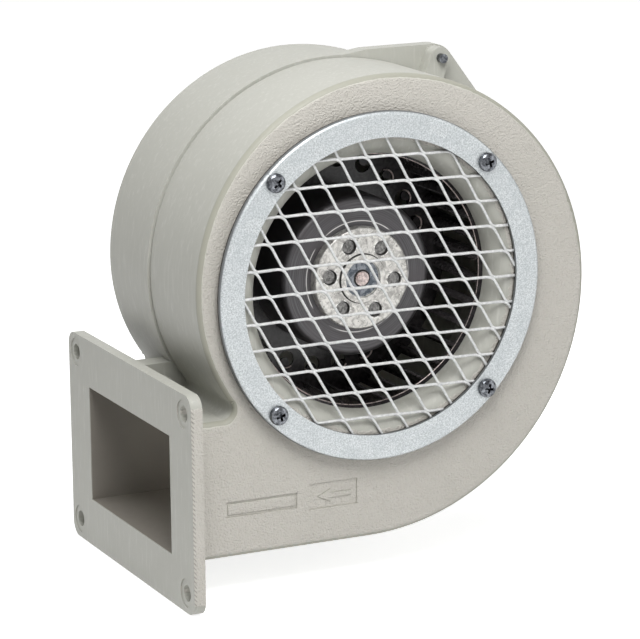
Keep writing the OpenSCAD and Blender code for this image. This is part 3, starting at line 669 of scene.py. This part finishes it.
def moulded(name, low, high, roughness, size, depth):
    """Plastic, rubber or ceramic: two close tones and a shallow grain, sizes in millimetres."""
    finish, tree = new_finish(name)
    where = add(tree, "TexCoord").outputs["Object"]
    cloud = {"Vector": where, "Scale": PER_MM / size, "Detail": 3.0, "Roughness": GRAINY}
    cloud = add(tree, "TexNoise", cloud).outputs[0]
    tone = coats(tree, low, [(cloud, 1.0, high)])
    gloss = {"Value": cloud, "To Min": roughness - 0.06, "To Max": roughness + 0.06}
    gloss = add(tree, "MapRange", gloss).outputs[0]
    skin = relief(tree, [(cloud, depth)])
    close_finish(tree, {"Base Color": tone, "Roughness": gloss, "IOR": 1.5, "Normal": skin})
    return finish


insulator_plastic = moulded("insulator_black_nylon", "262727", "383939", 0.42, 1.5, 0.03)
gland_rubber = moulded("gland_soft_rubber", "1d1d1d", "2b2a2a", 0.68, 0.8, 0.05)
magnet_ferrite = moulded("magnet_sintered_ferrite", "29292b", "3a3a3d", 0.58, 0.5, 0.04)
print("moulded:", insulator_plastic.name, gland_rubber.name, magnet_ferrite.name)

# %% [markdown]
# ## Stator and windings
# The stator is a stack of half-millimetre sheets, so its tone is striped along the axis. The windings are
# enamelled wire laid round each tooth, which gives ridges at equal distances from the axis. Both are a sine
# of a place, and the sine is the bump as well as the colour.

# %% Stator and windings
SHEET_T = 0.5 * MM
WINDING_PITCH = 0.55 * MM

stator_sheet, tree = new_finish("stator_stacked_sheet")
where = add(tree, "TexCoord").outputs["Object"]
along = add(tree, "SeparateXYZ", {0: where}).outputs["Y"]
layers = add(tree, "Math", {0: along, 1: 2 * math.pi / SHEET_T}, operation="MULTIPLY").outputs[0]
layers = add(tree, "Math", {0: layers}, operation="SINE").outputs[0]
smear = add(tree, "TexNoise", {"Vector": where, "Scale": PER_MM / 3.0, "Roughness": GRAINY}).outputs[0]
sheets = region(tree, [(layers, -0.6, 0.6)])
tone = coats(tree, "6f7276", [(sheets, 1.0, "a0a3a6"), (smear, 1.0, "8a8886")])
close_finish(
    tree,
    {"Base Color": tone, "Metallic": 0.9, "Roughness": 0.4, "Normal": relief(tree, [(layers, 0.05)])},
)

winding_copper, tree = new_finish("winding_enamelled_copper")
where = add(tree, "TexCoord").outputs["Object"]
turns = {0: from_axis(tree, where), 1: 2 * math.pi / WINDING_PITCH}
turns = add(tree, "Math", turns, operation="MULTIPLY").outputs[0]
turns = add(tree, "Math", {0: turns}, operation="SINE").outputs[0]
smear = add(tree, "TexNoise", {"Vector": where, "Scale": PER_MM / 4.0, "Roughness": GRAINY}).outputs[0]
wires = region(tree, [(turns, -0.9, 0.5)])
tone = coats(tree, "6d3719", [(wires, 1.0, "c0733d"), (smear, 1.0, "a45c2f")])
close_finish(
    tree,
    {"Base Color": tone, "Metallic": 0.85, "Roughness": 0.3, "Normal": relief(tree, [(turns, 0.12)])},
)
print("finishes:", stator_sheet.name, winding_copper.name)

# %% [markdown]
# ## Circuit board and guard coat
# The board is glass fibre under a green solder mask, with paler copper tracks below it. Voronoi cells whose
# distance is the longest step along any axis have square outlines, like tracks. The guard has a pale paint,
# and a fine mottle keeps its strands from looking like drawn lines.

# %% Circuit board and guard coat
TRACK_SPACING = 4.5

circuit_board, tree = new_finish("board_green_mask")
where = add(tree, "TexCoord").outputs["Object"]
tracks = add(
    tree,
    "TexVoronoi",
    {"Vector": where, "Scale": PER_MM / TRACK_SPACING, "Randomness": 0.7},
    feature="F1",
    distance="CHEBYCHEV",
).outputs["Distance"]
copper = region(tree, [(tracks, 0.5, 0.53)])
smear = add(tree, "TexNoise", {"Vector": where, "Scale": PER_MM / 2.0, "Roughness": GRAINY}).outputs[0]
mask = coats(tree, "1f4a2c", [(smear, 1.0, "2c5f3a"), (copper, 1.0, "4f8a55")])
close_finish(
    tree,
    {"Base Color": mask, "Roughness": 0.32, "IOR": 1.5, "Normal": relief(tree, [(copper, 0.04)])},
)

mesh_coat, tree = new_finish("guard_pale_paint")
where = add(tree, "TexCoord").outputs["Object"]
film, tone = mottle(tree, where, 1.4, (0.3, 0.7), "c3c4c4", "dcdddc", Detail=3.0)
skin = relief(tree, [(film, 0.06)])
close_finish(tree, {"Base Color": tone, "Metallic": 0.15, "Roughness": 0.36, "IOR": 1.5, "Normal": skin})
print("finishes:", circuit_board.name, mesh_coat.name)

# %% [markdown]
# ## Finishes on the solids
# The record names a finish for each part, so one table joins those names to the materials above.

# %% Finishes on the solids
FINISHES = {
    "casting_paint": casting_paint,
    "galvanised_ring": galvanised_ring,
    "mesh_coat": mesh_coat,
    "screw_steel": screw_steel,
    "motor_casting": motor_casting,
    "stator_sheet": stator_sheet,
    "insulator_plastic": insulator_plastic,
    "winding_copper": winding_copper,
    "circuit_board": circuit_board,
    "bearing_steel": bearing_steel,
    "gland_rubber": gland_rubber,
    "spring_steel": spring_steel,
    "rotor_coat": rotor_coat,
    "magnet_ferrite": magnet_ferrite,
    "hub_casting": hub_casting,
    "rivet_metal": rivet_metal,
    "impeller_coat": impeller_coat,
}
for part in frame["record"]["subparts"]:
    solid = frame["nodes"][part["node"]]
    solid.data.materials.clear()
    solid.data.materials.append(FINISHES[part["material_slot"]])
print("finished nodes:", len(frame["nodes"]))

# %% [markdown]
# ## Placing a piece
# Each added piece is modelled where it sits, so its object stays at the origin. It says which body carries
# it, the housing called root or the turning rotor, and which finish it wears. Faces that meet at less than
# the given angle are shaded as one curve, and the sharper edges stay crisp.

# %% A piece


def hang_mesh(name, mesh, slot, smooth_angle, body="root"):
    """Makes an object from a mesh, gives it the slot's finish and ties it to a body."""
    piece = bpy.data.objects.new(name, mesh)
    bpy.context.collection.objects.link(piece)
    mesh.materials.clear()
    mesh.materials.append(FINISHES[slot])
    mesh.shade_smooth()
    mesh.set_sharp_from_angle(angle=math.radians(smooth_angle))
    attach(piece, body)
    return piece


def hang(name, shape, slot, smooth_angle):
    """The same from a bmesh, with its faces turned outwards."""
    bmesh.ops.recalc_face_normals(shape, faces=shape.faces)
    mesh = bpy.data.meshes.new(name)
    shape.to_mesh(mesh)
    shape.free()
    return hang_mesh(name, mesh, slot, smooth_angle)


def triangles(piece):
    """How many triangles a piece has."""
    return sum(len(face.vertices) - 2 for face in piece.data.polygons)


print("finishes on offer:", len(FINISHES))

# %% [markdown]
# ## The path of a guard strand
# The guard is a sheet of expanded metal. Slits are cut in a sheet and the sheet is pulled, so each strand
# comes out as a staircase: it runs along a row, turns down at one knot and back into the next row at the
# knot below. At every knot two strands touch, one coming from the row and one from the slope. Drawing
# strands rather than diamonds is what gives the knots their real crossing shape. Each corner is rounded by
# a quadratic curve, with its own reach on the two sides of a knot, and the whole path is cut off where the
# ring holds it.

# %% The path of a guard strand
GUARD_REACH = 62.6 * MM
FIRST_KNOT = Vector((1.15, 21.42)) * MM
ROW = Vector((12.75, -0.3)) * MM
FALL = Vector((6.5, -11.07)) * MM
WIDE_BEND, TIGHT_BEND = 2.8 * MM, 1.5 * MM
APART = -0.12 * MM
BEND_STEPS = 6
KNOTS_EACH_WAY = 9
HALVINGS = 20


def staircase(number):
    """The rounded path of one strand, as points in the guard's plane measured from the wheel's axis."""
    across = (ROW.normalized() - FALL.normalized()).normalized()
    points = []
    for step in range(-KNOTS_EACH_WAY, KNOTS_EACH_WAY + 1):
        knot = FIRST_KNOT + ROW * (number + step) + FALL * step
        for corner, way_in, way_out, bend in (
            (knot - across * APART, ROW, FALL, WIDE_BEND),
            (knot + FALL + across * APART, FALL, ROW, TIGHT_BEND),
        ):
            start = corner - way_in.normalized() * bend
            end = corner + way_out.normalized() * bend
            for i in range(BEND_STEPS + 1):
                t = i / BEND_STEPS
                points.append(start * (1 - t) ** 2 + corner * 2 * t * (1 - t) + end * t**2)
    return points


def within(points, reach):
    """The runs of a path that lie inside a circle. Halving finds where each of them crosses it."""
    runs, run = [], []
    for a, b in zip(points, points[1:]):
        inside_a, inside_b = a.length < reach, b.length < reach
        if inside_a:
            run.append(a)
        if inside_a != inside_b:
            low, high = (a, b) if inside_a else (b, a)
            for _ in range(HALVINGS):
                middle = (low + high) / 2
                low, high = (middle, high) if middle.length < reach else (low, middle)
            run.append(low)
            if inside_a:
                runs.append(run)
                run = []
    return [r for r in runs + [run] if len(r) > 1]


print("points on a strand:", len(staircase(0)))

# %% [markdown]
# ## The guard
# A strand gets its thickness from a curve's bevel, which rolls a round wire along the path and caps its
# ends. The curve also works out how the wire turns at each bend. The guard isn't flat: it sinks a few
# millimetres towards the wheel at its centre, and each strand ripples a little, because the sheet was
# pulled. It takes the place of the plain sheet among the solids.

# %% Guard
WIRE = 1.24 * MM
ROUND_WIRE = 60
GUARD_Y = -51.3 * MM
DISH = 3.0 * MM
RIPPLE, RIPPLE_TURN = 0.08 * MM, 0.9
STRANDS_EACH_WAY = 12


def wire_mesh(name, runs, thick, closed=False):
    """One mesh of round wires along the runs, which are lists of points in space."""
    curve = bpy.data.curves.new(name, "CURVE")
    curve.dimensions = "3D"
    curve.bevel_depth = thick / 2
    curve.bevel_resolution = 2
    curve.use_fill_caps = True
    for run in runs:
        spline = curve.splines.new("POLY")
        spline.points.add(len(run) - 1)
        spline.use_cyclic_u = closed
        for point, place in zip(spline.points, run):
            point.co = (*place, 1)
    holder = bpy.data.objects.new(name, curve)
    bpy.context.collection.objects.link(holder)
    bpy.context.view_layer.update()
    mesh = bpy.data.meshes.new_from_object(holder)
    bpy.data.objects.remove(holder)
    return mesh


runs = []
for number in range(-STRANDS_EACH_WAY, STRANDS_EACH_WAY + 1):
    for flat_run in within(staircase(number), GUARD_REACH):
        run = []
        for i, p in enumerate(flat_run):
            sunk = GUARD_Y + DISH * (1 - (p.length / GUARD_REACH) ** 2)
            wave = RIPPLE * math.sin(i * RIPPLE_TURN + number)
            run.append((AXIS[0] + p.x, sunk + wave, AXIS[1] + p.y))
        runs.append(run)
guard = hang_mesh("guard_strands", wire_mesh("guard_strands", runs, WIRE), "mesh_coat", ROUND_WIRE)
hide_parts("inlet_mesh")
print("strands:", len(runs), "triangles:", triangles(guard))

# %% [markdown]
# ## Painted highlights on the wheel
# The wheel carries pale steel wires that stand in for its highlights and glints: a bead round the mouth of
# its front ring, and a curled lip at the outer side of each window. They are painted highlights, thin wires
# laid on the sheet, and they turn with the rotor.

# %% Painted highlights on the wheel
MOUTH_R = 53.0 * MM
MOUTH_BEAD = 0.42 * MM
MOUTH_PROUD = 0.1 * MM
MOUTH_STEPS, LIP_STEPS = 96, 12
WINDOW_PITCH, WINDOW_R, WINDOW_COUNT = 44.5 * MM, 3.7 * MM, 22
LIP = 0.8 * MM
LIP_PROUD = 0.2 * MM
LIP_HALF_ANGLE = 1.05


def arc(centre, radius, first, last, y, steps):
    """Points along an arc in a plane across the axis. Angles are in radians from +X towards +Z."""
    angles = [first + (last - first) * i / steps for i in range(steps + 1)]
    return [(centre[0] + radius * math.cos(a), y, centre[1] + radius * math.sin(a)) for a in angles]


# The bead and the lips are pale wires that paint in highlights and glints.
mouth_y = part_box("impeller_front_ring")[0][1] - MOUTH_PROUD
mouth = arc(AXIS, MOUTH_R, 0, 2 * math.pi, mouth_y, MOUTH_STEPS)[:-1]
highlight_bead = wire_mesh("mouth_highlight_bead", [mouth], MOUTH_BEAD, closed=True)
hang_mesh("mouth_highlight_bead", highlight_bead, "bearing_steel", ROUND_WIRE, body="rotor")

lip_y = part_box("impeller_disc")[0][1] - LIP_PROUD
glint_lips = []
for k in range(WINDOW_COUNT):
    out = 2 * math.pi * k / WINDOW_COUNT
    centre = (AXIS[0] + WINDOW_PITCH * math.cos(out), AXIS[1] + WINDOW_PITCH * math.sin(out))
    first, last = out - LIP_HALF_ANGLE, out + LIP_HALF_ANGLE
    glint_lips.append(arc(centre, WINDOW_R, first, last, lip_y, LIP_STEPS))
hang_mesh("window_glint_lips", wire_mesh("window_glint_lips", glint_lips, LIP), "bearing_steel", ROUND_WIRE, body="rotor")
print("mouth bead at", round(mouth_y, 4), "lips at", round(lip_y, 4))

# %% [markdown]
# ## The blank of a screw
# Four pan-head screws hold the ring, and four more hold the motor flange from behind. A pan head has a
# short upright side and a shallow dome. It is a turned shape, so a half profile is spun round the screw's
# axis.

# %% The blank of a screw
HEAD_R, HEAD_H, HEAD_SIDE = 4.0 * MM, 2.8 * MM, 1.1 * MM
SHANK_R = 1.9 * MM
DOME_ANGLES = (82, 70, 56, 42, 28, 14, 0)


def pan_head(shank_len):
    """The half profile of a screw as (radius, height) pairs. The head's seat is at height 0."""
    profile = [(0, HEAD_H)]
    for a in DOME_ANGLES:
        up = math.sin(math.radians(a))
        profile.append((HEAD_R * math.cos(math.radians(a)), HEAD_SIDE + (HEAD_H - HEAD_SIDE) * up))
    return profile + [(HEAD_R, 0), (SHANK_R, 0), (SHANK_R, -shank_len), (0, -shank_len)]


def spun(profile, steps=40):
    """A bmesh of the profile spun a full turn round Z."""
    shape = bmesh.new()
    line = [shape.verts.new((r, 0, h)) for r, h in profile]
    edges = [shape.edges.new(pair) for pair in zip(line, line[1:])]
    bmesh.ops.spin(
        shape,
        geom=line + edges,
        axis=(0, 0, 1),
        cent=(0, 0, 0),
        angle=2 * math.pi,
        steps=steps,
        use_merge=True,
    )
    bmesh.ops.remove_doubles(shape, verts=shape.verts, dist=0.001 * MM)
    bmesh.ops.recalc_face_normals(shape, faces=shape.faces)
    return shape


print("profile points:", len(pan_head(10 * MM)))

# %% [markdown]
# ## The cross recess
# The recess is cut with two crossing blades that narrow downwards, like the punch that forms the real one.
# An exact boolean takes them from the blank, and it has to be told that the blades cross each other.

# %% The cross recess
RECESS_LONG, RECESS_WIDE, RECESS_DEEP = 2.6 * MM, 0.6 * MM, 2.1 * MM
NARROWED = 0.5


def cross_blades():
    """Two crossing blades, narrower at the bottom, as the cutter of a recess."""
    shape = bmesh.new()
    for turn in (0, 90):
        made = bmesh.ops.create_cube(shape, size=1)["verts"]
        for corner in made:
            narrow = 1.0 if corner.co.z > 0 else NARROWED
            corner.co.x *= 2 * RECESS_LONG * narrow
            corner.co.y *= 2 * RECESS_WIDE * (0.5 + 0.5 * narrow)
            corner.co.z = HEAD_H + 1 * MM if corner.co.z > 0 else HEAD_H - RECESS_DEEP
        quarter = Matrix.Rotation(math.radians(turn), 3, "Z")
        bmesh.ops.rotate(shape, verts=made, cent=(0, 0, 0), matrix=quarter)
    return shape


def cut(shape, tool):
    """The first bmesh less the second, by an exact boolean."""
    objects = []
    for name, source in (("screw_blank", shape), ("recess_tool", tool)):
        mesh = bpy.data.meshes.new(name)
        source.to_mesh(mesh)
        source.free()
        objects.append(bpy.data.objects.new(name, mesh))
        bpy.context.collection.objects.link(objects[-1])
    blank, cutter = objects
    modifier = blank.modifiers.new("recess", "BOOLEAN")
    modifier.operation = "DIFFERENCE"
    modifier.solver = "EXACT"
    modifier.use_self = True
    modifier.object = cutter
    result = bmesh.new()
    result.from_object(blank, bpy.context.evaluated_depsgraph_get())
    for used in objects:
        bpy.data.objects.remove(used)
    return result


print("recess depth in mm:", round(RECESS_DEEP / MM, 2))

# %% [markdown]
# ## The eight screws
# A set of four sits at the corners of the box round its plain solids, and takes their place. One screw is
# made and then copied, each copy turned by another angle about its own axis, because nobody lines up
# recesses.

# %% The eight screws
FIRST_TURN, NEXT_TURN = 17, 31
HEAD_SMOOTH = 35


def screw_set(name, node, facing):
    """Four screws in place of a node's. Facing is -1 for heads to the front, and 1 for heads to the back."""
    low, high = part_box(node)
    seat = (low[1] + HEAD_H) if facing < 0 else (high[1] - HEAD_H)
    blank = cut(spun(pan_head(high[1] - low[1] - HEAD_H)), cross_blades())
    single = bpy.data.meshes.new(name + "_single")
    blank.to_mesh(single)
    blank.free()
    sides, levels = ((low[i] + HEAD_R, high[i] - HEAD_R) for i in (0, 2))
    corners = [(x, z) for x in sides for z in levels]
    whole = bmesh.new()
    for k, (x, z) in enumerate(corners):
        before = set(whole.verts)
        whole.from_mesh(single)
        mine = [v for v in whole.verts if v not in before]
        turn = Matrix.Rotation(math.radians(FIRST_TURN + NEXT_TURN * k), 4, "Z")
        lay = Matrix.Rotation(-facing * math.pi / 2, 4, "X")
        bmesh.ops.transform(whole, verts=mine, matrix=Matrix.Translation((x, seat, z)) @ lay @ turn)
    bpy.data.meshes.remove(single)
    piece = hang(name, whole, "screw_steel", HEAD_SMOOTH)
    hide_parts(node)
    print(name, "triangles:", triangles(piece))


screw_set("ring_screw_heads", "ring_screws", -1)
screw_set("motor_screw_heads", "motor_screws", 1)

# %% [markdown]
# ## Signs on the front
# Two shallow recesses lie beside the duct. One holds a raised arrow, which says where the air goes, and the
# other a bare plate. Both are part of the casting, so they wear its paint. An outline is filled with one
# face and extruded, and a bevel rounds its upper and upright edges, because a cast sign has no sharp ones.

# %% Signs
RECESS_FLOOR = -47.5 * MM
ROOT = 0.15 * MM
SIGN_SMOOTH = 50
ARROW_AT, ARROW_HIGH, ARROW_EDGE = (72.3, -8.4), 0.42 * MM, 0.3 * MM
ARROW_TIP, ARROW_TAIL, ARROW_HALF = -8.3, 7.4, 3.0
PLATE_AT, PLATE_HIGH, PLATE_EDGE = (38.7, -8.5), 0.28 * MM, 0.2 * MM
PLATE_LONG, PLATE_TALL = 15.2, 2.4


def raised(name, outline, centre, high, edge):
    """A flat sign with soft edges on a recess floor. Its outline is (x, z) points in millimetres."""
    shape = bmesh.new()
    rim = []
    for x, z in outline:
        rim.append(shape.verts.new(((centre[0] + x) * MM, RECESS_FLOOR + ROOT, (centre[1] + z) * MM)))
    face = shape.faces.new(rim)
    made = bmesh.ops.extrude_face_region(shape, geom=[face])["geom"]
    top = {g for g in made if isinstance(g, bmesh.types.BMVert)}
    bmesh.ops.translate(shape, verts=list(top), vec=(0, -(high + ROOT), 0))
    edges = [e for e in shape.edges if e.verts[0] in top or e.verts[1] in top]
    bmesh.ops.bevel(
        shape,
        geom=edges,
        offset=edge,
        offset_type="OFFSET",
        segments=3,
        profile=0.5,
        affect="EDGES",
        material=-1,
    )
    hang(name, shape, "casting_paint", SIGN_SMOOTH)


stem = [(-2.5, 1.2), (ARROW_TAIL, 1.1), (ARROW_TAIL, -1.1), (-2.5, -1.2)]
arrow = [(ARROW_TIP, 0), (-2.0, ARROW_HALF), *stem, (-2.0, -ARROW_HALF)]
raised("direction_arrow", arrow, ARROW_AT, ARROW_HIGH, ARROW_EDGE)
plate = [(x * PLATE_LONG, z * PLATE_TALL) for x, z in ((-1, -1), (1, -1), (1, 1), (-1, 1))]
raised("bare_plate", plate, PLATE_AT, PLATE_HIGH, PLATE_EDGE)
print("arrow points:", len(arrow), "plate points:", len(plate))
